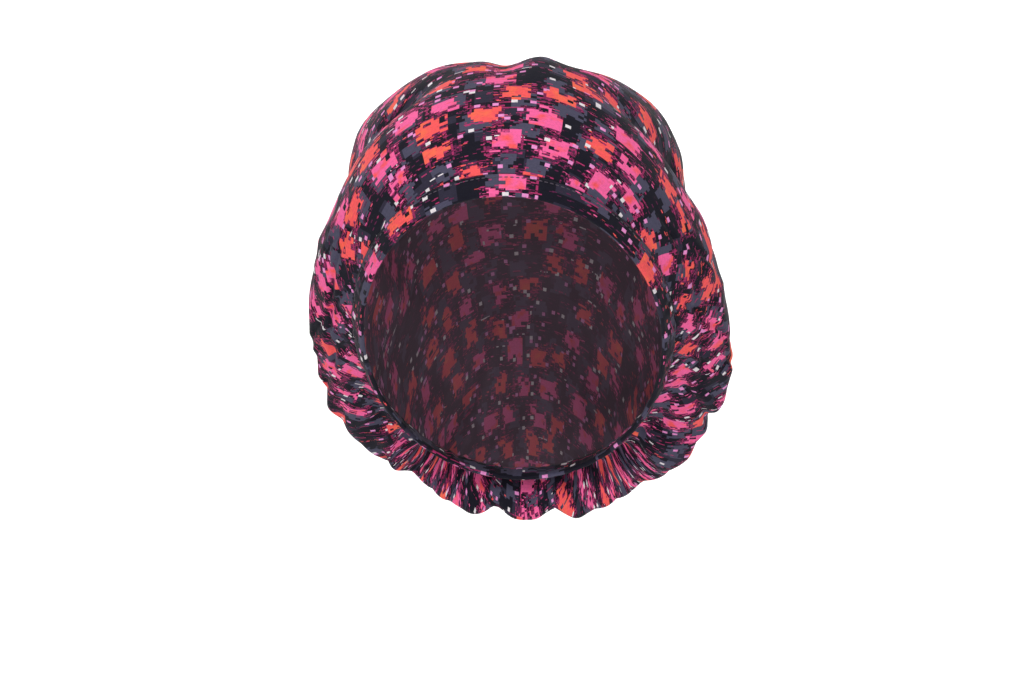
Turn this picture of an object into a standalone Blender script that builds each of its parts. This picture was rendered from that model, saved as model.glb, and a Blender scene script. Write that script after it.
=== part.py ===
"""A gathered cloth scrub cap, as it stands when it is worn.

Two sewn pieces: the crown, one full bag of printed cotton, and the rim casing, a narrow folded
strip that runs round the head opening and holds the crown's gathered edge.

The opening is an oval in a tilted plane, low at the nape. The crown is lofted through oval
courses round the axis of that plane. Metres, +Z up, the face looks along -Y, and the origin is
the middle of the head opening.
"""

import math

import bmesh
import bpy

OPENING_WIDTH = 0.149
OPENING_LENGTH = 0.218
OPENING_TILT = math.radians(40)

CASING_WIDTH = 0.011
CASING_THICKNESS = 0.0024
CASING_LEAN = math.radians(26)

CROWN_WIDTH = 0.211
CROWN_FRONT_LENGTH = 0.151
CROWN_BACK_LENGTH = 0.110
CROWN_RISE = 0.159
CROWN_WALL = 0.0015
SEAM_GAP = 0.0003

GATHER_DEPTH = 0.0060
HOOP_FOLD_DEPTH = 0.012
TOP_FOLD_DEPTH = 0.0050
DROOP = 0.005

# How square the courses are: 2 is a plain ellipse.
FRONT_FULLNESS = 2.1
BACK_FULLNESS = 2.35

MERIDIANS = 120
COURSE_STEPS = 20
CASING_SIDES = 8

# The turn-out of the crown, from the casing seam (0) to the fullest course (1), front, side, back.
SKIRT = (
    # out_front, up_front, out_side, up_side, out_back, up_back
    (0.00, 0.00, 0.00, 0.00, 0.00, 0.00),
    (0.38, 0.22, 0.28, 0.14, 0.20, -0.22),
    (0.70, 0.48, 0.60, 0.36, 0.47, 1.38),
    (0.90, 0.74, 0.86, 0.68, 0.80, 1.95),
)

# The dome, from the fullest course to the pole. Lengths to the front and the back run from the
# widest line of the course. Each column is a share of its size, upward ones and the place of the
# widest line of the rise.
DOME = (
    # front, up_front, side, up_side, widest, back, up_back
    (1.000, 0.263, 1.000, 0.151, 0.182, 0.959, 0.013),
    (0.962, 0.364, 0.990, 0.251, 0.151, 1.000, 0.138),
    (0.884, 0.477, 0.957, 0.376, 0.107, 0.995, 0.282),
    (0.767, 0.590, 0.900, 0.502, 0.056, 0.945, 0.452),
    (0.614, 0.690, 0.825, 0.627, 0.000, 0.855, 0.615),
    (0.437, 0.797, 0.745, 0.753, -0.050, 0.745, 0.747),
    (0.271, 0.913, 0.578, 0.878, -0.056, 0.536, 0.872),
    (0.132, 0.979, 0.313, 0.966, -0.025, 0.273, 0.963),
    (0.000, 1.000, 0.000, 1.000, 0.006, 0.000, 1.000),
)

# Folds that run round the crown beside the face, where the snug front meets the loose bag.
HOOP_FOLDS = (
    # side, angle, half_span, course, half_width, depth
    (-1, 38, 14, 6.30, 0.55, 0.80),
    (-1, 64, 15, 6.35, 0.85, 0.85),
    (-1, 88, 16, 7.40, 0.70, 0.45),
    (-1, 76, 30, 8.60, 1.10, -0.40),
    (1, 38, 14, 6.30, 0.55, 0.55),
    (1, 64, 15, 6.35, 0.80, 1.05),
    (1, 88, 16, 7.40, 0.70, 0.60),
    (1, 76, 30, 8.60, 1.10, -0.10),
    (1, 100, 34, 4.20, 1.80, -0.20),
)

# Gathers that run up from the casing seam, in degrees from the brow.
GATHERS = (
    # angle, half_width, reach, depth
    (-173, 3.6, 5.0, 0.90),
    (-160, 3.4, 3.6, 1.00),
    (-147, 3.8, 5.6, 0.85),
    (-134, 3.4, 4.2, 1.00),
    (-121, 3.6, 5.0, 0.80),
    (-108, 3.4, 3.8, 0.60),
    (-95, 3.6, 4.6, 0.40),
    (-82, 3.2, 3.6, 0.25),
    (-69, 3.0, 3.0, 0.15),
    (67, 3.0, 3.0, 0.15),
    (80, 3.2, 3.6, 0.25),
    (93, 3.6, 4.6, 0.40),
    (106, 3.4, 4.0, 0.60),
    (119, 3.8, 5.0, 0.80),
    (132, 3.4, 4.0, 1.00),
    (145, 3.6, 5.2, 0.90),
    (159, 3.4, 3.8, 1.00),
    (173, 3.6, 6.0, 0.80),
)

# Soft ridges and dips over the top, placed across the width of the crown.
TOP_FOLDS = (
    # across, half_width, lift
    (-0.42, 0.16, 0.25),
    (-0.22, 0.10, -0.20),
    (-0.035, 0.10, -0.95),
    (0.14, 0.09, 0.35),
    (0.27, 0.12, -0.35),
)


def blend(low, high, share):
    return low + (high - low) * share


def ease(value, start, end):
    """0 before start and 1 after end, with a smooth way between."""
    share = min(max((value - start) / (end - start), 0.0), 1.0)
    return share * share * (3.0 - 2.0 * share)


def bell(distance, half_width):
    return math.exp(-((distance / half_width) ** 2))


def angle_between(first, second):
    return (first - second + 180.0) % 360.0 - 180.0


def along_rows(rows, place):
    """A smooth curve through the rows of a table, read at a place counted in rows."""
    row = min(int(place), len(rows) - 2)
    share = place - row
    before = rows[max(row - 1, 0)]
    here, there = rows[row], rows[row + 1]
    after = rows[min(row + 2, len(rows) - 1)]
    return [
        0.5
        * (
            2 * b
            + (c - a) * share
            + (2 * a - 5 * b + 4 * c - d) * share**2
            + (3 * b - a - 3 * c + d) * share**3
        )
        for a, b, c, d in zip(before, here, there, after)
    ]


def from_opening(across, back, up):
    """A point given on the tilted opening: across it, back along it, and up its axis."""
    return (
        across,
        back * math.cos(OPENING_TILT) + up * math.sin(OPENING_TILT),
        up * math.cos(OPENING_TILT) - back * math.sin(OPENING_TILT),
    )


def casing_point(angle, along, outward):
    """A point of the casing: along its width from the face edge, and outward from its middle."""
    inset = CASING_THICKNESS / 4
    spread = inset + along * math.sin(CASING_LEAN) + outward * math.cos(CASING_LEAN)
    rise = along * math.cos(CASING_LEAN) - outward * math.sin(CASING_LEAN)
    across = (OPENING_WIDTH / 2 + spread) * math.sin(angle)
    back = -(OPENING_LENGTH / 2 + spread) * math.cos(angle)
    return across, back, rise


def course_rows():
    """Every course of the crown, from the casing seam to the pole, in metres."""
    seam_along = CASING_WIDTH + SEAM_GAP
    half_wall = CROWN_WALL / 2
    _, seam_brow, seam_up = casing_point(0.0, seam_along, half_wall)
    seam_side, _, _ = casing_point(math.pi / 2, seam_along, half_wall)
    sizes = (
        CROWN_FRONT_LENGTH,
        CROWN_RISE,
        CROWN_WIDTH / 2,
        CROWN_RISE,
        CROWN_RISE,
        CROWN_BACK_LENGTH,
        CROWN_RISE,
    )
    dome = [[share * size for share, size in zip(row, sizes)] for row in DOME]
    front, up_front, side, up_side, widest, back, up_back = dome[0]
    skirt = []
    for row in SKIRT:
        middle = widest * row[2]
        skirt.append(
            [
                blend(-seam_brow, front - widest, row[0]) + middle,
                blend(seam_up, up_front, row[1]),
                blend(seam_side, side, row[2]),
                blend(seam_up, up_side, row[3]),
                middle,
                blend(-seam_brow, back + widest, row[4]) - middle,
                blend(seam_up, up_back, row[5]),
            ]
        )
    return skirt + dome


COURSES = course_rows()
TOP_COURSE = len(COURSES) - 1


def gather_depth(degrees, course):
    """How far the gathers draw the cloth in, at an angle from the brow and a course."""
    drawn = 0.0
    for angle, half_width, reach, depth in GATHERS:
        across = bell(angle_between(degrees, angle), half_width * (1 + 0.08 * course))
        along = ease(course, 0.3, 1.5) * (1 - ease(course, 0.3 * reach, reach))
        drawn += depth * across * along
    return GATHER_DEPTH * drawn


def hoop_depth(degrees, course):
    """How far the folds beside the face draw the cloth in."""
    drawn = 0.0
    for side, angle, half_span, place, half_width, depth in HOOP_FOLDS:
        across = bell(angle_between(degrees, side * angle), half_span)
        drawn += depth * across * bell(course - place, half_width)
    return HOOP_FOLD_DEPTH * drawn


def droop(degrees, course):
    """How far the bag hangs lower behind the right ear than behind the left."""
    return DROOP * bell(angle_between(degrees, 150), 38) * bell(course - 4.0, 2.5)


def top_lift(across, course):
    """How far the folds over the top lift the cloth."""
    share = across / (CROWN_WIDTH / 2)
    lift = sum(rise * bell(share - place, width) for place, width, rise in TOP_FOLDS)
    return TOP_FOLD_DEPTH * lift * ease(course, TOP_COURSE * 0.40, TOP_COURSE * 0.62)


def crown_point(angle, course):
    """A point of the crown's outer face."""
    front, up_front, side, up_side, widest, back, up_back = along_rows(COURSES, course)
    degrees = math.degrees(angle)
    drawn = gather_depth(degrees, course) + hoop_depth(degrees, course)
    facing, sideways = math.cos(angle), math.sin(angle)
    if facing > 0:
        length, end_up, fullness = front, up_front, FRONT_FULLNESS
    else:
        length, end_up, fullness = back, up_back, BACK_FULLNESS
    fullness = blend(2.0, fullness, ease(course, 0.0, 2.0))
    swell = (abs(facing) ** fullness + abs(sideways) ** fullness) ** (-1 / fullness)
    across = (side - drawn) * sideways * swell
    behind = widest - (length - drawn) * facing * swell
    up = blend(up_side, end_up, facing * facing)
    x, y, z = from_opening(across, behind, up)
    return x, y, z + top_lift(x, course) - droop(degrees, course)


def lofted(name, around, along, point):
    """An object whose grid runs round the opening and along its courses, with its seam merged."""
    shape = bmesh.new()
    bmesh.ops.create_grid(shape, x_segments=around, y_segments=along, size=0.5)
    for vertex in shape.verts:
        turn = (vertex.co.x + 0.5) * 2 * math.pi
        vertex.co = point(turn, vertex.co.y + 0.5)
    bmesh.ops.remove_doubles(shape, verts=shape.verts, dist=1e-6)
    mesh = bpy.data.meshes.new(name)
    shape.to_mesh(mesh)
    shape.free()
    mesh.shade_smooth()
    return bpy.data.objects.new(name, mesh)


def cloth(name, colour, roughness):
    material = bpy.data.materials.new(name)
    material.use_nodes = True
    shader = material.node_tree.nodes["Principled BSDF"]
    shader.inputs["Base Color"].default_value = (*colour, 1.0)
    shader.inputs["Roughness"].default_value = roughness
    shader.inputs["Metallic"].default_value = 0.0
    return material


def make_crown():
    """The bag of printed cotton, open at the casing."""

    def point(turn, share):
        return crown_point(turn, share * TOP_COURSE)

    crown = lofted("crown", MERIDIANS, COURSE_STEPS, point)
    wall = crown.modifiers.new("wall", "SOLIDIFY")
    wall.thickness = CROWN_WALL
    wall.offset = -1.0
    crown.data.materials.append(cloth("printed_cotton", (0.16, 0.05, 0.09), 0.85))
    return crown


def make_rim_casing():
    """The folded strip round the opening, a flat oval in section."""

    def point(turn, share):
        corner = share * 2 * math.pi
        half_width, half_thickness = CASING_WIDTH / 2, CASING_THICKNESS / 2
        along = half_width - half_width * math.cos(corner)
        outward = half_thickness * math.copysign(
            abs(math.sin(corner)) ** 0.6, math.sin(corner)
        )
        return from_opening(*casing_point(turn, along, outward))

    casing = lofted("rim_casing", MERIDIANS, CASING_SIDES, point)
    shape = bmesh.new()
    shape.from_mesh(casing.data)
    bmesh.ops.recalc_face_normals(shape, faces=shape.faces)
    shape.to_mesh(casing.data)
    shape.free()
    casing.data.materials.append(cloth("casing_cotton", (0.07, 0.05, 0.08), 0.85))
    return casing


for leftover in list(bpy.data.objects):
    bpy.data.objects.remove(leftover)

cap = bpy.data.collections.new("scrub_cap")
bpy.context.scene.collection.children.link(cap)
for piece in (make_crown(), make_rim_casing()):
    cap.objects.link(piece)
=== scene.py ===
"""How the gathered cotton scrub cap looks, on the frame of its solid model.

It is shown as it is worn, held up at the head opening, with nothing inside it. Metres, +Z up,
and the face looks along -Y.
"""

import math
import random

import bmesh
import bpy
from mathutils import Matrix, Vector, noise


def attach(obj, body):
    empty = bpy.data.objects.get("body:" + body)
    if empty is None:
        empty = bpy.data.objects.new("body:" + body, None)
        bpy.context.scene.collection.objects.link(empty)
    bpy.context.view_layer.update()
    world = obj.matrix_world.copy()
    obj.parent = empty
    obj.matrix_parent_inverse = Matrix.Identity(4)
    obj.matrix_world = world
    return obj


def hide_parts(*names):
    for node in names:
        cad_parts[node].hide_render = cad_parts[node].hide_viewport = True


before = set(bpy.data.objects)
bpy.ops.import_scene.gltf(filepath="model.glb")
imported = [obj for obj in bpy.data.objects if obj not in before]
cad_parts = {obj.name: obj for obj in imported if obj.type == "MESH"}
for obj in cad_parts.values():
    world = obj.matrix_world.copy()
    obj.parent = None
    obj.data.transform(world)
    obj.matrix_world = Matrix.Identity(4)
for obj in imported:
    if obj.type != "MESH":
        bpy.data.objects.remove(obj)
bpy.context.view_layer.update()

# The crown. One full bag of printed cotton, cut as a big oval and gathered by the elastic of the
# casing at the sides and the nape. Its front edge is sewn on nearly flat, so the brow is smooth.
# The sizes and tables down to the folds over the top are the solid's, but four gathers are eased.

OPENING_WIDTH = 0.149
OPENING_LENGTH = 0.218
OPENING_TILT = math.radians(40)

CASING_WIDTH = 0.011
CASING_THICKNESS = 0.0024
CASING_LEAN = math.radians(26)

CROWN_WIDTH = 0.211
CROWN_FRONT_LENGTH = 0.151
CROWN_BACK_LENGTH = 0.110
CROWN_RISE = 0.159
CROWN_WALL = 0.0015
SEAM_GAP = 0.0003

GATHER_DEPTH = 0.0060
HOOP_FOLD_DEPTH = 0.012
TOP_FOLD_DEPTH = 0.0050
DROOP = 0.005

FRONT_FULLNESS = 2.1
BACK_FULLNESS = 2.35

SKIRT = (
    # out_front, up_front, out_side, up_side, out_back, up_back
    (0.00, 0.00, 0.00, 0.00, 0.00, 0.00),
    (0.38, 0.22, 0.28, 0.14, 0.20, -0.22),
    (0.70, 0.48, 0.60, 0.36, 0.47, 1.38),
    (0.90, 0.74, 0.86, 0.68, 0.80, 1.95),
)

DOME = (
    # front, up_front, side, up_side, widest, back, up_back
    (1.000, 0.263, 1.000, 0.151, 0.182, 0.959, 0.013),
    (0.962, 0.364, 0.990, 0.251, 0.151, 1.000, 0.138),
    (0.884, 0.477, 0.957, 0.376, 0.107, 0.995, 0.282),
    (0.767, 0.590, 0.900, 0.502, 0.056, 0.945, 0.452),
    (0.614, 0.690, 0.825, 0.627, 0.000, 0.855, 0.615),
    (0.437, 0.797, 0.745, 0.753, -0.050, 0.745, 0.747),
    (0.271, 0.913, 0.578, 0.878, -0.056, 0.536, 0.872),
    (0.132, 0.979, 0.313, 0.966, -0.025, 0.273, 0.963),
    (0.000, 1.000, 0.000, 1.000, 0.006, 0.000, 1.000),
)

HOOP_FOLDS = (
    # side, angle, half_span, course, half_width, depth
    (-1, 38, 14, 6.30, 0.55, 0.80),
    (-1, 64, 15, 6.35, 0.85, 0.85),
    (-1, 88, 16, 7.40, 0.70, 0.45),
    (-1, 76, 30, 8.60, 1.10, -0.40),
    (1, 38, 14, 6.30, 0.55, 0.55),
    (1, 64, 15, 6.35, 0.80, 1.05),
    (1, 88, 16, 7.40, 0.70, 0.60),
    (1, 76, 30, 8.60, 1.10, -0.10),
    (1, 100, 34, 4.20, 1.80, -0.20),
)

GATHERS = (
    # angle, half_width, reach, depth
    (-173, 3.6, 5.0, 0.90),
    (-160, 3.4, 3.6, 1.00),
    (-147, 3.8, 5.6, 0.85),
    (-134, 3.4, 4.2, 1.00),
    (-121, 3.6, 5.0, 0.50),
    (-108, 3.4, 3.8, 0.30),
    (-95, 3.6, 4.6, 0.40),
    (-82, 3.2, 3.6, 0.25),
    (-69, 3.0, 3.0, 0.15),
    (67, 3.0, 3.0, 0.15),
    (80, 3.2, 3.6, 0.25),
    (93, 3.6, 4.6, 0.40),
    (106, 3.4, 4.0, 0.30),
    (119, 3.8, 5.0, 0.45),
    (132, 3.4, 4.0, 1.00),
    (145, 3.6, 5.2, 0.90),
    (159, 3.4, 3.8, 1.00),
    (173, 3.6, 6.0, 0.80),
)

TOP_FOLDS = (
    # across, half_width, lift
    (-0.42, 0.16, 0.25),
    (-0.22, 0.10, -0.20),
    (-0.035, 0.10, -0.95),
    (0.14, 0.09, 0.35),
    (0.27, 0.12, -0.35),
)

# Creases that the solid model leaves out: the two ends of each, in degrees and courses, with its
# half width and depth in millimetres. A negative depth is a ridge.
CREASES = (
    # angle_1, course_1, angle_2, course_2, half_width, depth
    (52, 1.2, 70, 4.6, 2.2, 0.9),
    (76, 0.6, 88, 3.8, 2.0, 1.3),
    (101, 0.5, 94, 4.4, 2.4, 1.0),
    (86, 3.2, 104, 4.6, 2.0, 1.1),
    (60, 2.6, 84, 5.4, 3.0, -0.8),
    (-48, 1.0, -66, 4.2, 2.4, 0.9),
    (-62, 2.8, -80, 1.2, 2.6, 1.0),
    (-74, 0.6, -90, 4.0, 2.2, 1.4),
    (-96, 0.5, -88, 4.2, 2.4, 0.8),
    (-58, 4.2, -78, 5.6, 3.0, -0.7),
    (-30, 7.2, -6, 8.8, 3.4, 0.5),
    (14, 7.4, 34, 8.4, 3.0, 0.6),
    (78, 2.2, 62, 7.4, 4.5, 1.5),
    (96, 2.4, 84, 8.4, 5.0, 1.2),
    (120, 3.0, 104, 7.2, 4.6, 2.8),
    (138, 2.8, 124, 8.6, 5.0, 3.2),
    (156, 2.4, 141, 6.8, 4.4, 2.8),
    (172, 2.6, 160, 8.4, 5.0, 3.4),
    (-168, 2.4, 178, 6.4, 4.4, 2.6),
    (-150, 2.6, -171, 7.8, 5.0, 3.4),
    (-134, 2.8, -158, 6.9, 4.6, 2.8),
    (-118, 3.2, -138, 8.8, 5.2, 3.2),
    (-104, 2.8, -120, 6.6, 4.6, 2.6),
    (-98, 2.4, -86, 8.4, 5.0, 0.9),
    (-50, 2.1, -76, 1.8, 2.8, 1.5),
    (-76, 1.8, -106, 2.0, 2.8, 1.7),
    (52, 2.1, 78, 1.8, 2.8, 1.3),
    (78, 1.8, 104, 2.0, 2.8, 1.5),
    (110, 1.2, 119, 4.4, 2.8, 2.4),
    (95, 1.2, 90, 3.2, 2.0, 1.1),
    (-80, 2.2, -64, 7.2, 4.5, 1.4),
    (-152, 5.0, 178, 4.3, 6.0, -2.6),
    (178, 4.3, 146, 5.2, 6.0, -2.6),
    (-126, 7.8, -170, 6.8, 6.5, 2.4),
    (166, 7.0, 124, 8.0, 6.5, 2.4),
    (-146, 9.8, -98, 8.2, 6.0, 2.0),
    (152, 9.6, 106, 8.4, 6.0, 2.0),
)

CREASE_DEGREE = 1.75
CREASE_COURSE = 17.0

# The folds that the elastic draws in, from behind one ear round the nape to the other.
GATHER_FOLDS = 30
GATHER_SPAN = (106, 254)
PUCKER_DEPTH = 0.0030
SLACK_DEPTHS = (0.0042, 0.0014)
CLOTH_THICKNESS = 0.0012

COLUMNS = 480
ROWS = 100


def blend(low, high, share):
    """The value a share of the way from low to high."""
    return low + (high - low) * share


def ease(value, start, end):
    """From 0 at start to 1 at end, slow at both."""
    share = min(max((value - start) / (end - start), 0.0), 1.0)
    return share * share * (3.0 - 2.0 * share)


def bell(distance, half_width):
    """1 in the middle and about a third at the half width."""
    return math.exp(-((distance / half_width) ** 2))


def angle_between(first, second):
    """The turn between two angles in degrees, the short way round."""
    return (first - second + 180.0) % 360.0 - 180.0


def along_rows(rows, place):
    """A smooth row of values between the rows of a table."""
    row = min(int(place), len(rows) - 2)
    share = place - row
    before = rows[max(row - 1, 0)]
    here, there = rows[row], rows[row + 1]
    after = rows[min(row + 2, len(rows) - 1)]
    return [
        0.5
        * (
            2 * b
            + (c - a) * share
            + (2 * a - 5 * b + 4 * c - d) * share**2
            + (3 * b - a - 3 * c + d) * share**3
        )
        for a, b, c, d in zip(before, here, there, after)
    ]


def from_opening(across, back, up):
    """A point given from the tilted head opening, in the cap's own axes."""
    return Vector(
        (
            across,
            back * math.cos(OPENING_TILT) + up * math.sin(OPENING_TILT),
            up * math.cos(OPENING_TILT) - back * math.sin(OPENING_TILT),
        )
    )


def casing_point(angle, along, outward):
    """A place on the casing: round the opening, up from its fold, and out from its middle."""
    inset = CASING_THICKNESS / 4
    spread = inset + along * math.sin(CASING_LEAN) + outward * math.cos(CASING_LEAN)
    rise = along * math.cos(CASING_LEAN) - outward * math.sin(CASING_LEAN)
    across = (OPENING_WIDTH / 2 + spread) * math.sin(angle)
    back = -(OPENING_LENGTH / 2 + spread) * math.cos(angle)
    return across, back, rise


def course_rows():
    """The sections of the crown from its seam to its top, in metres."""
    seam_along = CASING_WIDTH + SEAM_GAP
    _, seam_brow, seam_up = casing_point(0.0, seam_along, CROWN_WALL / 2)
    seam_side, _, _ = casing_point(math.pi / 2, seam_along, CROWN_WALL / 2)
    sizes = (
        CROWN_FRONT_LENGTH,
        CROWN_RISE,
        CROWN_WIDTH / 2,
        CROWN_RISE,
        CROWN_RISE,
        CROWN_BACK_LENGTH,
        CROWN_RISE,
    )
    dome = [[share * size for share, size in zip(row, sizes)] for row in DOME]
    front, up_front, side, up_side, widest, back, up_back = dome[0]
    skirt = []
    for row in SKIRT:
        middle = widest * row[2]
        skirt.append(
            [
                blend(-seam_brow, front - widest, row[0]) + middle,
                blend(seam_up, up_front, row[1]),
                blend(seam_side, side, row[2]),
                blend(seam_up, up_side, row[3]),
                middle,
                blend(-seam_brow, back + widest, row[4]) - middle,
                blend(seam_up, up_back, row[5]),
            ]
        )
    return skirt + dome


COURSES = course_rows()
TOP_COURSE = len(COURSES) - 1


def gather_depth(degrees, course):
    """How far the solid's gathers draw the cloth in at a place."""
    drawn = 0.0
    for angle, half_width, reach, depth in GATHERS:
        across = bell(angle_between(degrees, angle), half_width * (1 + 0.08 * course))
        along = ease(course, 0.3, 1.5) * (1 - ease(course, 0.3 * reach, reach))
        drawn += depth * across * along
    return GATHER_DEPTH * drawn


def hoop_depth(degrees, course):
    """How far the folds that run round the bag draw it in at a place."""
    drawn = 0.0
    for side, angle, half_span, place, half_width, depth in HOOP_FOLDS:
        across = bell(angle_between(degrees, side * angle), half_span)
        drawn += depth * across * bell(course - place, half_width)
    return HOOP_FOLD_DEPTH * drawn


def droop(degrees, course):
    """How far the bag sags behind one side of the nape."""
    return DROOP * bell(angle_between(degrees, 150), 38) * bell(course - 4.0, 2.5)


def top_lift(across, course):
    """The rise and fall of the folds over the top."""
    share = across / (CROWN_WIDTH / 2)
    lift = sum(rise * bell(share - place, width) for place, width, rise in TOP_FOLDS)
    return TOP_FOLD_DEPTH * lift * ease(course, TOP_COURSE * 0.40, TOP_COURSE * 0.62)


def crown_point(degrees, course):
    """A point of the crown before its small folds, round from the brow and up from the seam."""
    front, up_front, side, up_side, widest, back, up_back = along_rows(COURSES, course)
    angle = math.radians(degrees)
    drawn = gather_depth(degrees, course) + hoop_depth(degrees, course)
    facing, sideways = math.cos(angle), math.sin(angle)
    if facing > 0:
        length, end_up, fullness = front, up_front, FRONT_FULLNESS
    else:
        length, end_up, fullness = back, up_back, BACK_FULLNESS
    fullness = blend(2.0, fullness, ease(course, 0.0, 2.0))
    swell = (abs(facing) ** fullness + abs(sideways) ** fullness) ** (-1 / fullness)
    across = (side - drawn) * sideways * swell
    behind = widest - (length - drawn) * facing * swell
    up = blend(up_side, end_up, facing * facing)
    point = from_opening(across, behind, up)
    point.z += top_lift(point.x, course) - droop(degrees, course)
    return point


def fold_profile(share):
    """The section of a fold: a narrow valley between two soft shoulders."""
    return math.exp(-(share**1.4)) - 0.32 * bell(share - 2.0, 0.95)


def crease_depth(degrees, course):
    """The creases and ridges of the cloth at a place, in metres."""
    drawn = 0.0
    for angle_1, course_1, angle_2, course_2, half_width, depth in CREASES:
        run = (angle_between(angle_2, angle_1) * CREASE_DEGREE, (course_2 - course_1) * CREASE_COURSE)
        here = (angle_between(degrees, angle_1) * CREASE_DEGREE, (course - course_1) * CREASE_COURSE)
        length = math.hypot(*run)
        share = (run[0] * here[0] + run[1] * here[1]) / length**2
        if not -0.4 < share < 1.4:
            continue
        aside = abs(run[0] * here[1] - run[1] * here[0]) / length
        fade = ease(share, -0.3, 0.2) * (1 - ease(share, 0.7, 1.3))
        drawn += depth * fade * fold_profile(aside / half_width)
    return drawn / 1000


def gather_folds():
    """Where each fold starts, its half width and its depth in millimetres, its reach and slant."""
    draws = random.Random(11)
    folds = []
    for fold in range(GATHER_FOLDS):
        angle = blend(*GATHER_SPAN, (fold + draws.uniform(0.2, 0.8)) / GATHER_FOLDS)
        long = fold % 3 == 1
        half_width = draws.uniform(2.6, 3.6) if long else draws.uniform(1.7, 2.4)
        reach = draws.uniform(4.8, 8.2) if long else draws.uniform(1.8, 3.8)
        depth = draws.uniform(2.0, 3.2) if long else draws.uniform(1.2, 2.4)
        depth *= blend(0.25, 1.0, ease(abs(angle_between(angle, 0)), 104, 142))
        folds.append((angle, half_width, reach, depth, draws.uniform(-0.9, 0.9)))
    return folds


folds_drawn = gather_folds()


def fold_depth(degrees, course):
    """The gathers beside and behind the face at a place, in metres."""
    drawn = 0.0
    for angle, half_width, reach, depth, slant in folds_drawn:
        if course > reach:
            continue
        aside = abs(angle_between(degrees, angle + slant * course)) * CREASE_DEGREE
        share = aside / (half_width * (1 + 0.22 * course))
        if share < 4:
            fade = ease(course, 0.1, 0.9) * (1 - ease(course, 0.3 * reach, reach))
            drawn += depth * fade * fold_profile(share)
    return drawn / 1000


def pucker_depth(degrees, course):
    """The small tucks that the elastic pulls into the edge, beside and behind the face."""
    loose = ease(abs(degrees), 98, 140)
    tuck = noise.noise(Vector((degrees / 3.3, course * 0.22, 3.7)))
    wide = noise.noise(Vector((degrees / 7.0, course * 0.16, 9.1)))
    fade = ease(course, 0.05, 0.5) * (0.65 * math.exp(-course / 1.3) + 0.35 * math.exp(-course / 3.2))
    return PUCKER_DEPTH * (0.10 + 0.90 * loose) * fade * (0.75 * tuck + 0.55 * wide)


def slack_depth(point, degrees, course):
    """The soft hollows of cloth that hangs loose, fullest behind and over the top."""
    loose = 0.35 + 0.65 * ease(abs(degrees), 80, 125)
    far = noise.noise(point * 24 + Vector((4.0, 1.0, 7.0)))
    near = noise.noise(point * 55 + Vector((2.0, 8.0, 3.0)))
    away = ease(course, 0.6, 2.5) * (1 - 0.5 * ease(course, TOP_COURSE - 1.5, TOP_COURSE))
    return loose * away * (SLACK_DEPTHS[0] * far + SLACK_DEPTHS[1] * near)


def lengths_along(line):
    """How far each point of a line of points is from its first, along the line."""
    run = [0.0]
    for before, after in zip(line, line[1:]):
        run.append(run[-1] + (after - before).length)
    return run


def sheet_mesh(name, points, cloth):
    """A ring-shaped sheet through columns of points. cloth(column, row) places its print."""
    columns, rows = len(points), len(points[0])
    shape = bmesh.new()
    print_place = shape.loops.layers.uv.new("cloth")
    corners = [[shape.verts.new(point) for point in column] for column in points]
    for column in range(columns):
        for row in range(rows - 1):
            round_it = ((0, 0), (1, 0), (1, 1), (0, 1))
            face = shape.faces.new(
                [corners[(column + right) % columns][row + up] for right, up in round_it]
            )
            face.smooth = True
            for loop, (right, up) in zip(face.loops, round_it):
                loop[print_place].uv = cloth(column + right, row + up)
    bmesh.ops.remove_doubles(shape, verts=shape.verts, dist=1e-6)
    mesh = bpy.data.meshes.new(name)
    shape.to_mesh(mesh)
    shape.free()
    made = bpy.data.objects.new(name, mesh)
    bpy.context.scene.collection.objects.link(made)
    return made


def apply_modifiers(piece):
    """The piece's modifiers are made part of its mesh."""
    bpy.ops.object.select_all(action="DESELECT")
    piece.select_set(True)
    bpy.context.view_layer.objects.active = piece
    for modifier in list(piece.modifiers):
        bpy.ops.object.modifier_apply(modifier=modifier.name)


def degrees_round(place, count):
    """Degrees from the brow, for a place on a ring of a count that starts and ends at the nape."""
    return -180 + 360 * place / count


def row_course(row):
    """The rows lie closer together at the gathered edge."""
    share = row / ROWS
    return TOP_COURSE * share * (0.78 + 0.22 * share)


smooth_form = [
    [crown_point(degrees_round(column, COLUMNS), row_course(row)) for row in range(ROWS + 1)]
    for column in range(COLUMNS)
]

up_lengths = [lengths_along(column) for column in smooth_form]
brow_column = COLUMNS // 2
brow_length = up_lengths[brow_column][-1]
round_lengths = [
    lengths_along([smooth_form[column % COLUMNS][row] for column in range(COLUMNS + 1)])
    for row in range(ROWS + 1)
]

# The print lies as on one flat cloth that is gathered most at the nape. Its rows follow the casing
# round the face and then run over the head. The FAN_ANGLES, at the casing and at the top, are how
# far round from the brow the cloth turns a quarter.
FAN_ANGLES = (140, 105)
FAN_DROP = math.radians(14)
CLOTH_RUNS = (0.155, 0.165, 0.070)
QUARTER = math.pi / 2
nape_length = up_lengths[0][-1]


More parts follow.
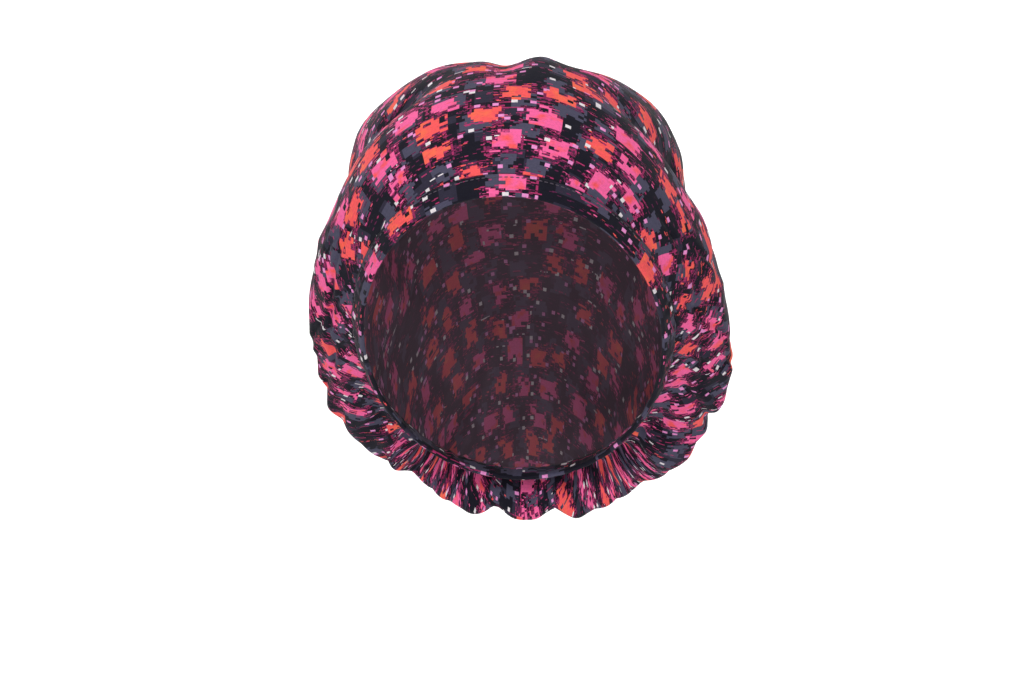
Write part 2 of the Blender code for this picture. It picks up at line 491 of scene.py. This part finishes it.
def crown_cloth(column, row):
    """The place of a corner on the flat cloth, across and up from the middle of the brow."""
    ring = round_lengths[row]
    up = up_lengths[column % COLUMNS]
    climbed = up[row] / up[-1]
    turned = 0.0
    if ring[-1] > 0:
        way = 1 if column > brow_column else -1
        here = abs(ring[column] - ring[brow_column])
        nape = abs(ring[brow_column + way * brow_column] - ring[brow_column])
        place = brow_column + way * COLUMNS * blend(*FAN_ANGLES, climbed) / 360
        before = math.floor(place)
        fan = abs(blend(ring[before], ring[before + 1], place - before) - ring[brow_column])
        turned = way * QUARTER * (here / fan if here < fan else 1 + (here - fan) / (nape - fan))
    climb = blend(FAN_DROP, QUARTER, climbed)
    lean = math.asin(math.cos(climb) * math.sin(turned))
    turn = math.atan2(math.sin(climb), math.cos(climb) * math.cos(turned))
    brow_run, top_run, nape_run = CLOTH_RUNS
    run = blend(brow_run if turn < QUARTER else nape_run, top_run, math.sin(turn))
    back = (turn - QUARTER) / (QUARTER - FAN_DROP) * math.cos(lean) ** 0.3
    return lean * run, brow_length + (brow_length if turn < QUARTER else nape_length) * back


draped_form = []
for column in range(COLUMNS):
    degrees = degrees_round(column, COLUMNS)
    draped = []
    for row in range(ROWS + 1):
        course = row_course(row)
        point = smooth_form[column][row]
        if row == ROWS:
            draped.append(point)
            continue
        beside = smooth_form[(column + 1) % COLUMNS][row] - smooth_form[column - 1][row]
        along = smooth_form[column][row + 1] - smooth_form[column][max(row - 1, 0)]
        outward = beside.cross(along).normalized()
        drawn = (
            crease_depth(degrees, course)
            + fold_depth(degrees, course)
            + pucker_depth(degrees, course)
            + slack_depth(point, degrees, course)
        )
        drawn *= 1 - ease(course, TOP_COURSE - 0.8, TOP_COURSE)
        draped.append(point - outward * drawn)
    draped_form.append(draped)

crown = sheet_mesh("crown_cloth", draped_form, crown_cloth)
wall = crown.modifiers.new("wall", "SOLIDIFY")
wall.thickness = CLOTH_THICKNESS
wall.offset = -1.0
wall.material_offset = 1


class Shade:
    """A value, colour or vector of a material. Sums written with it add their nodes."""

    def __init__(self, tree, socket):
        self.tree = tree
        self.socket = socket

    def node(self, kind, sockets=(), output=0, **settings):
        made = self.tree.nodes.new(kind)
        for setting, value in settings.items():
            setattr(made, setting, value)
        for place, value in dict(sockets).items():
            if isinstance(value, Shade):
                self.tree.links.new(value.socket, made.inputs[place])
            else:
                made.inputs[place].default_value = value
        return Shade(self.tree, made.outputs[output])

    def maths(self, operation, *values):
        return self.node("ShaderNodeMath", enumerate(values), operation=operation)

    def __add__(self, other):
        return self.maths("ADD", self, other)

    def __radd__(self, other):
        return self.maths("ADD", other, self)

    def __sub__(self, other):
        return self.maths("SUBTRACT", self, other)

    def __rsub__(self, other):
        return self.maths("SUBTRACT", other, self)

    def __mul__(self, other):
        return self.maths("MULTIPLY", self, other)

    def __rmul__(self, other):
        return self.maths("MULTIPLY", other, self)

    def __truediv__(self, other):
        return self.maths("DIVIDE", self, other)

    def __lt__(self, other):
        return self.maths("LESS_THAN", self, other)

    def __gt__(self, other):
        return self.maths("GREATER_THAN", self, other)

    def __abs__(self):
        return self.maths("ABSOLUTE", self)

    def floor(self):
        return self.maths("FLOOR", self)

    def part(self):
        return self.maths("FRACT", self)

    def sine(self):
        return self.maths("SINE", self)

    def most(self, other):
        return self.maths("MAXIMUM", self, other)

    def least(self, other):
        return self.maths("MINIMUM", self, other)

    def held(self):
        """The value, kept between 0 and 1."""
        return self.most(0.0).least(1.0)

    def over(self, colour, below):
        """A colour laid over another where this value is 1."""
        sockets = {"Factor": self, 6: below, 7: colour}
        return self.node("ShaderNodeMix", sockets, 2, data_type="RGBA")


def dye(red, green, blue):
    """A colour as the eye reads it, from 0 to 255, in the light values that a shader takes."""
    return (*((level / 255) ** 2.2 for level in (red, green, blue)), 1.0)


def chance(across, up, seed, output=0):
    """A number of its own for each whole step across and up the cloth."""
    place = across.node("ShaderNodeCombineXYZ", {0: across, 1: up, 2: float(seed)})
    return across.node(
        "ShaderNodeTexWhiteNoise", {0: place}, output, noise_dimensions="3D"
    )


BLACK_DYE = dye(26, 25, 36)
SLATE_DYE = dye(74, 72, 91)
DARK_SLATE_DYE = dye(48, 45, 60)
PINK_DYE = dye(238, 98, 154)
CORAL_DYE = dye(240, 88, 90)
ORANGE_DYE = dye(242, 106, 80)
MAGENTA_DYE = dye(168, 52, 100)
PLUM_DYE = dye(92, 34, 70)
ORCHID_DYE = dye(224, 138, 196)
CHALK_DYE = dye(222, 214, 218)
WRONG_SIDE_DYE = dye(132, 112, 126)

# The print, in millimetres across and up the cloth. STEP is the smallest step of its edges, and
# each band of patches stands ROW_STAGGER of a pitch beside the one below.
STEP = (1.15, 0.95)
ROW_STAGGER = 0.43
SLATE_PITCH = (22.0, 18.5)
SLATE_SIZE = (10.0, 9.8)
BRIGHT_PITCH = (22.0, 16.5)
BRIGHT_SIZE = (10.8, 8.4)
SMUDGE_SIZE = (6.9, 4.75)
BAR_SIZE = (7.5, 0.62)
BREAK_LENGTH = 1.5
DASH_SIZE = (1.7, 0.72)
POST_SIZE = (0.85, 3.6)
SPECK_SIZE = (2.3, 1.9)
WEAVE_PITCH = 0.62


def patches(across, up, pitch, size, seed):
    """How far outside the stepped patches a place is, and the number of the patch it is nearest."""
    band = (up / pitch[1]).floor()
    shifted = across / pitch[0] + band * ROW_STAGGER
    column = shifted.floor()
    lots = chance(column, band, seed, 1)
    split = lots.node("ShaderNodeSeparateXYZ", {0: lots})
    lot, other, third = [Shade(split.tree, split.socket.node.outputs[axis]) for axis in range(3)]
    beside = (shifted.part() - 0.5) * pitch[0] - (lot - 0.5) * (pitch[0] - size[0]) * 1.05
    above = ((up / pitch[1]).part() - 0.5) * pitch[1] - (other - 0.5) * (pitch[1] - size[1]) * 0.95
    wide = (third * 0.5 + 0.72) * (size[0] / 2)
    tall = (lot * 0.5 + 0.72) * (size[1] / 2)
    body = (abs(beside) - wide).most(abs(above) - tall)
    arm_beside = abs(beside + (other - 0.5) * size[0] * 1.1) - size[0] * 0.24
    arm_above = abs(above - (third - 0.5) * size[1] * 1.5) - size[1] * 0.26
    return body.least(arm_beside.most(arm_above)), chance(column, band, seed + 1)


def block_print(across, up, seed, calm=0.0):
    """A printed cloth of stepped patches, short bars and specks. across and up are in millimetres."""
    stepped_across = ((across / STEP[0]).floor() + 0.5) * STEP[0]
    stepped_up = ((up / STEP[1]).floor() + 0.5) * STEP[1]
    notch = chance((across / (STEP[0] * 3)).floor(), (up / (STEP[1] * 2)).floor(), seed + 1)
    cut = (notch - 0.40) * (notch - 0.40) * 12.0 - 0.8

    slate_off, _ = patches(
        stepped_across + 7.0, stepped_up + 9.0, SLATE_PITCH, SLATE_SIZE, seed + 20
    )
    bright_off, bright_lot = patches(
        stepped_across, stepped_up + 5.0, BRIGHT_PITCH, BRIGHT_SIZE, seed + 30
    )
    kept = bright_lot > calm
    in_slate = slate_off + cut < 0.0
    in_bright = (bright_off + cut < 0.0) * kept
    near = (1.0 - bright_off / 5.5).held() * kept
    pink = (bright_lot * 17.0).part() > 0.46

    smudge = chance((across / SMUDGE_SIZE[0]).floor(), (up / SMUDGE_SIZE[1]).floor(), seed + 4)
    ground = (smudge > 0.80).over(DARK_SLATE_DYE, BLACK_DYE)
    ground = in_slate.over(SLATE_DYE, ground)

    thin_row = (up / BAR_SIZE[1]).floor()
    bar_shift = chance(thin_row, thin_row, seed + 5) * 3.0
    bar = chance((across / BAR_SIZE[0] + bar_shift).floor(), thin_row, seed + 6)
    broken = chance((across / BREAK_LENGTH).floor(), thin_row, seed + 7)
    bar_on = (bar > 0.955 - near * 0.18) * (broken > 0.30)
    bar_dye = (bar * 97.0).part()
    bar_dye = (bar_dye > 0.95).over(CHALK_DYE, (bar_dye > 0.45).over(MAGENTA_DYE, PLUM_DYE))
    ground = bar_on.over(bar_dye, ground)

    dash_column = (across / DASH_SIZE[0] + bar_shift).floor()
    dash = chance(dash_column, (up / DASH_SIZE[1]).floor(), seed + 8)
    dash_on = (dash < near * 0.38 + 0.05) * (1.0 - in_slate * 0.75)
    own_dye = pink.over(PINK_DYE, CORAL_DYE)
    dash_dye = ((dash * 71.0).part() > 0.80).over(own_dye, PLUM_DYE)
    dash_dye = ((dash * 41.0).part() > 0.72).over(MAGENTA_DYE, dash_dye)
    ground = (dash_on > 0.5).over(dash_dye, ground)

    post_row = (up / POST_SIZE[1] + bar_shift).floor()
    post = chance((across / POST_SIZE[0]).floor(), post_row, seed + 10)
    post_on = (post < near * 0.26) * (1.0 - in_slate * 0.6)
    ground = (post_on > 0.5).over((post * 113.0).part().over(MAGENTA_DYE, PLUM_DYE), ground)

    speck_column = (stepped_across / SPECK_SIZE[0]).floor()
    speck = chance(speck_column, (stepped_up / SPECK_SIZE[1]).floor(), seed + 9)
    ground = ((speck > 0.952 - near * 0.02) * (speck < 0.972)).over(ORCHID_DYE, ground)
    ground = (speck > 0.988 - near * 0.012).over(CHALK_DYE, ground)

    soft = across.node(
        "ShaderNodeTexNoise",
        {"Vector": across.node("ShaderNodeCombineXYZ", {0: across, 1: up}), "Scale": 0.13},
    )
    pink_dye = ((soft - 0.52) * 7.0).held().over(CORAL_DYE, PINK_DYE)
    coral_dye = ((soft - 0.50) * 6.0).held().over(ORANGE_DYE, CORAL_DYE)
    ground = in_bright.over(pink.over(pink_dye, coral_dye), ground)
    return ((speck > 0.925) * (speck < 0.945)).over(BLACK_DYE, ground)


def cotton(name, seed, stretch=1.0, faded=0.0, tone=1.0, calm=0.0):
    """Printed plain-weave cotton. faded is how far the print is paled, as on its wrong side."""
    material = bpy.data.materials.new(name)
    material.use_nodes = True
    tree = material.node_tree
    shader = tree.nodes["Principled BSDF"]
    shader.inputs["Sheen Weight"].default_value = 0.06
    shader.inputs["Sheen Roughness"].default_value = 0.45
    shader.inputs["Specular IOR Level"].default_value = 0.14
    start = Shade(tree, None)
    place = start.node("ShaderNodeUVMap", uv_map="cloth")
    split = place.node("ShaderNodeSeparateXYZ", {0: place})
    across = Shade(tree, split.socket.node.outputs[0]) * 1000.0 + 4000.0
    up = Shade(tree, split.socket.node.outputs[1]) * 1000.0 + 400.0

    colour = block_print(across / stretch, up, seed, calm)
    mottle = start.node(
        "ShaderNodeTexNoise",
        {
            "Vector": start.node("ShaderNodeCombineXYZ", {0: across, 1: up}),
            "Scale": 0.9,
            "Detail": 3.0,
        },
    )
    slub = start.node(
        "ShaderNodeTexNoise",
        {
            "Vector": start.node("ShaderNodeCombineXYZ", {0: across * 0.35, 1: up * 4.0}),
            "Scale": 0.55,
            "Detail": 2.0,
        },
    )
    thread = math.tau / WEAVE_PITCH
    weft = ((across * thread).sine() * (up * thread * 0.5).sine()) * 0.5 + 0.5
    warp = ((across * thread * 0.5).sine() * (up * thread).sine()) * 0.5 + 0.5
    weave = weft.most(warp)
    shading = (1.0 + (mottle - 0.5) * 0.50 + (slub - 0.5) * 0.34 + (weave - 0.6) * 0.16) * tone
    grey = start.node("ShaderNodeCombineXYZ", {0: shading, 1: shading, 2: shading})
    colour = colour.node("ShaderNodeVectorMath", {0: colour, 1: grey}, operation="MULTIPLY")
    if faded:
        sockets = {"Factor": faded, 6: colour, 7: WRONG_SIDE_DYE}
        colour = start.node("ShaderNodeMix", sockets, 2, data_type="RGBA")
    tree.links.new(colour.socket, shader.inputs["Base Color"])
    tree.links.new((0.80 + (mottle - 0.5) * 0.16).socket, shader.inputs["Roughness"])

    rise = weave * 0.6 + slub * 0.9 + mottle * 0.7
    bump = start.node("ShaderNodeBump", {"Strength": 0.55, "Distance": 0.00016, "Height": rise})
    tree.links.new(bump.socket, shader.inputs["Normal"])
    return material


crown.data.materials.append(cotton("printed_cotton", 11, calm=0.22))
crown.data.materials.append(cotton("printed_cotton_wrong_side", 11, faded=0.45, tone=0.85, calm=0.22))
apply_modifiers(crown)
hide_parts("crown")
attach(crown, "root")

# The rim casing. A straight strip of the same cotton, folded lengthwise over the elastic, with its
# fold towards the face and its two raw edges sewn to the crown. The elastic puckers it beside and
# behind the face.

CASING_COLUMNS = 720
CASING_WALL = 0.0007
CASING_BELLY = 0.0003
CASING_PUCKER = 0.0009
CASING_PRINT_START = 0.21
FOLD_STEPS = 6
FACE_STEPS = 6


def casing_profile():
    """(along, outward) across the strip: up the inner face to the fold, and back up the outer."""
    radius = CASING_THICKNESS / 2
    flat = [CASING_WIDTH - (CASING_WIDTH - radius) * step / FACE_STEPS for step in range(FACE_STEPS)]
    fold = [math.pi * step / FOLD_STEPS for step in range(FOLD_STEPS + 1)]
    inner = [(along, -radius) for along in flat]
    turn = [(radius - radius * math.sin(bend), -radius * math.cos(bend)) for bend in fold]
    outer = [(along, radius) for along in reversed(flat)]
    return inner + turn + outer


def casing_pucker(degrees, along):
    """How far the elastic puckers the strip at a place."""
    loose = ease(abs(degrees), 30, 80)
    tuck = noise.noise(Vector((degrees / 2.6, along * 60, 1.3)))
    return CASING_PUCKER * (0.12 + 0.88 * loose) * tuck


profile = casing_profile()
profile_lengths = lengths_along([Vector(place) for place in profile])
casing_form = []
for column in range(CASING_COLUMNS):
    degrees = degrees_round(column, CASING_COLUMNS)
    strip = []
    for along, outward in profile:
        drawn = casing_pucker(degrees, along) * ease(along, -0.001, 0.006)
        belly = CASING_BELLY * math.copysign(math.sin(math.pi * along / CASING_WIDTH), outward)
        place = casing_point(math.radians(degrees), along, outward + drawn + belly)
        strip.append(from_opening(*place))
    casing_form.append(strip)

fold_line = [
    casing_form[column % CASING_COLUMNS][len(profile) // 2] for column in range(CASING_COLUMNS + 1)
]
casing_run = lengths_along(fold_line)


def casing_cloth(column, row):
    """The place of a corner on the flat strip, along and across it."""
    return casing_run[column] + CASING_PRINT_START, profile_lengths[row]


casing = sheet_mesh("casing_cloth", casing_form, casing_cloth)
wall = casing.modifiers.new("wall", "SOLIDIFY")
wall.thickness = CASING_WALL
wall.offset = -1.0
apply_modifiers(casing)
casing.data.materials.append(cotton("casing_cotton", 37, stretch=1.35, tone=1.0, calm=0.85))
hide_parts("rim_casing")
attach(casing, "root")

# The casing's topstitching. One row of lockstitches in dark thread, a little below the seam, holds
# the folded strip and the seam allowance flat.

STITCH_PITCH = 0.0032
STITCH_LENGTH = 0.0024
STITCH_RADIUS = 0.00030
STITCH_INSET = 0.0016
STITCH_BULGE = 0.0002
STITCH_RINGS = (-0.5, -0.36, 0.0, 0.36, 0.5)
THREAD_SIDES = 6
THREAD_DYE = dye(92, 80, 94)
THREAD_SHADE_DYE = dye(48, 42, 54)


def stitch_row():
    """Every stitch of the row as one mesh of short rounded threads."""
    shape = bmesh.new()
    count = round(casing_run[-1] / STITCH_PITCH)
    for stitch in range(count):
        degrees = degrees_round(stitch, count)
        along = CASING_WIDTH - STITCH_INSET
        rings = []
        for share in STITCH_RINGS:
            turn = math.radians(degrees + 360 * share * STITCH_LENGTH / casing_run[-1])
            thick = STITCH_RADIUS * (1 - (2 * share) ** 4 * 0.75)
            outward = CASING_THICKNESS / 2 + casing_pucker(degrees, along)
            outward += STITCH_BULGE * (1 - (2 * share) ** 2)
            ring = []
            for side in range(THREAD_SIDES):
                bend = math.tau * side / THREAD_SIDES
                across, above = thick * math.cos(bend), thick * math.sin(bend)
                place = casing_point(turn, along + across, outward + above)
                ring.append(shape.verts.new(from_opening(*place)))
            rings.append(ring)
        for first, second in zip(rings, rings[1:]):
            for side in range(THREAD_SIDES):
                after = (side + 1) % THREAD_SIDES
                shape.faces.new((first[side], first[after], second[after], second[side]))
        shape.faces.new(rings[0])
        shape.faces.new(reversed(rings[-1]))
    bmesh.ops.recalc_face_normals(shape, faces=shape.faces)
    for face in shape.faces:
        face.smooth = True
    mesh = bpy.data.meshes.new("casing_stitches")
    shape.to_mesh(mesh)
    shape.free()
    return bpy.data.objects.new("casing_stitches", mesh)


def thread_finish():
    """Twisted polyester thread."""
    material = bpy.data.materials.new("stitch_thread")
    material.use_nodes = True
    tree = material.node_tree
    shader = tree.nodes["Principled BSDF"]
    start = Shade(tree, None)
    place = start.node("ShaderNodeTexCoord", output="Object")
    tint = start.node("ShaderNodeTexNoise", {"Vector": place, "Scale": 400.0})
    colour = tint.over(THREAD_DYE, THREAD_SHADE_DYE)
    tree.links.new(colour.socket, shader.inputs["Base Color"])
    tree.links.new((tint * 0.2 + 0.45).socket, shader.inputs["Roughness"])
    bump = start.node("ShaderNodeBump", {"Strength": 0.5, "Distance": 0.0001, "Height": tint})
    tree.links.new(bump.socket, shader.inputs["Normal"])
    return material


stitches = stitch_row()
bpy.context.scene.collection.objects.link(stitches)
stitches.data.materials.append(thread_finish())
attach(stitches, "root")

# The stage. A plain pale floor well below the cap, which sweeps up into a low pale wall all round,
# under soft studio light from the front left, with a wash of light on the wall behind.

FLOOR_DROP = 1.1
WALL_RADIUS = 4.5
WALL_TOP = 1.2
SWEEP = 1.4
PAPER_GLOW = 0.34

bpy.ops.object.select_all(action="DESELECT")
bpy.ops.mesh.primitive_cylinder_add(
    vertices=128,
    radius=WALL_RADIUS,
    depth=WALL_TOP + FLOOR_DROP,
    location=(0, 0, (WALL_TOP - FLOOR_DROP) / 2),
)
floor = bpy.context.object
floor.name = "floor"
bpy.ops.object.transform_apply(location=True, rotation=False, scale=False)
bpy.ops.object.mode_set(mode="EDIT")
bpy.ops.mesh.select_mode(type="FACE")
bpy.ops.mesh.select_all(action="DESELECT")
bpy.ops.object.mode_set(mode="OBJECT")
for face in floor.data.polygons:
    face.select = face.normal.z > 0.9
bpy.ops.object.mode_set(mode="EDIT")
bpy.ops.mesh.delete(type="FACE")
bpy.ops.mesh.select_mode(type="EDGE")
bpy.ops.mesh.select_all(action="DESELECT")
bpy.ops.object.mode_set(mode="OBJECT")
for edge in floor.data.edges:
    edge.select = all(
        abs(floor.data.vertices[corner].co.z + FLOOR_DROP) < 0.001 for corner in edge.vertices
    )
bpy.ops.object.mode_set(mode="EDIT")
bpy.ops.mesh.bevel(offset=SWEEP, segments=18)
bpy.ops.mesh.select_all(action="SELECT")
bpy.ops.mesh.normals_make_consistent(inside=True)
bpy.ops.object.mode_set(mode="OBJECT")
bpy.ops.object.shade_smooth()
paper = bpy.data.materials.new("floor_paper")
paper.use_nodes = True
paper_shader = paper.node_tree.nodes["Principled BSDF"]
paper_shader.inputs["Base Color"].default_value = (0.80, 0.80, 0.80, 1)
paper_shader.inputs["Roughness"].default_value = 0.9
paper_shader.inputs["Emission Color"].default_value = (1, 1, 1, 1)
paper_shader.inputs["Emission Strength"].default_value = PAPER_GLOW
floor.data.materials.append(paper)

LIGHTS = (
    # name, place, width, watts
    ("left_softbox", (-0.8, -2.0, 1.4), 0.8, 30),
    ("right_softbox", (1.1, -2.1, 0.8), 1.0, 8),
    ("top_softbox", (0.1, -0.2, 2.0), 1.0, 14),
    ("rear_softbox", (-1.3, 1.8, 1.4), 0.9, 16),
    ("rear_fill", (1.9, 1.6, 1.2), 0.9, 8),
)
WASH_PLACE = (0, 2.2, 1.9)
WASH_TILT = math.radians(72)


def hang_light(name, place, turn, width, watts):
    """A square lamp that doesn't show in the picture."""
    lamp = bpy.data.lights.new(name, "AREA")
    lamp.size = width
    lamp.energy = watts
    holder = bpy.data.objects.new(name, lamp)
    holder.location = place
    holder.rotation_euler = turn
    holder.visible_camera = False
    bpy.context.scene.collection.objects.link(holder)


for name, place, width, watts in LIGHTS:
    hang_light(name, place, Vector(place).to_track_quat("Z", "Y").to_euler(), width, watts)
hang_light("wall_wash", WASH_PLACE, (WASH_TILT, 0, 0), 1.2, 80)

room = bpy.data.worlds.new("room")
room.use_nodes = True
room.node_tree.nodes["Background"].inputs["Color"].default_value = (1, 1, 1, 1)
room.node_tree.nodes["Background"].inputs["Strength"].default_value = 0.10
bpy.context.scene.world = room
bpy.context.scene.view_settings.view_transform = "Standard"

# The camera. It stands level with the middle of the cap, two metres off and a little to the right,
# and its frame is 512 mm wide there, half a millimetre for each pixel of the photograph.

CAMERA_YAW = math.radians(3.25)
CAMERA_DISTANCE = 2.0
EYE_LEFT = 0.0005
EYE_UP = 0.00175
VIEW_WIDTH = 0.512
SENSOR_WIDTH = 36

towards = Vector((math.sin(CAMERA_YAW), -math.cos(CAMERA_YAW), 0))
rightwards = Vector((math.cos(CAMERA_YAW), math.sin(CAMERA_YAW), 0))
upwards = towards.cross(rightwards)
eye = towards * CAMERA_DISTANCE - rightwards * EYE_LEFT + upwards * EYE_UP
camera = bpy.data.objects.new("camera", bpy.data.cameras.new("camera"))
camera.data.sensor_width = SENSOR_WIDTH
camera.data.lens = SENSOR_WIDTH * CAMERA_DISTANCE / VIEW_WIDTH
camera.data.clip_end = 20
facing = Matrix((rightwards, upwards, towards)).transposed().to_4x4()
camera.matrix_world = Matrix.Translation(eye) @ facing
bpy.context.scene.collection.objects.link(camera)
bpy.context.scene.camera = camera
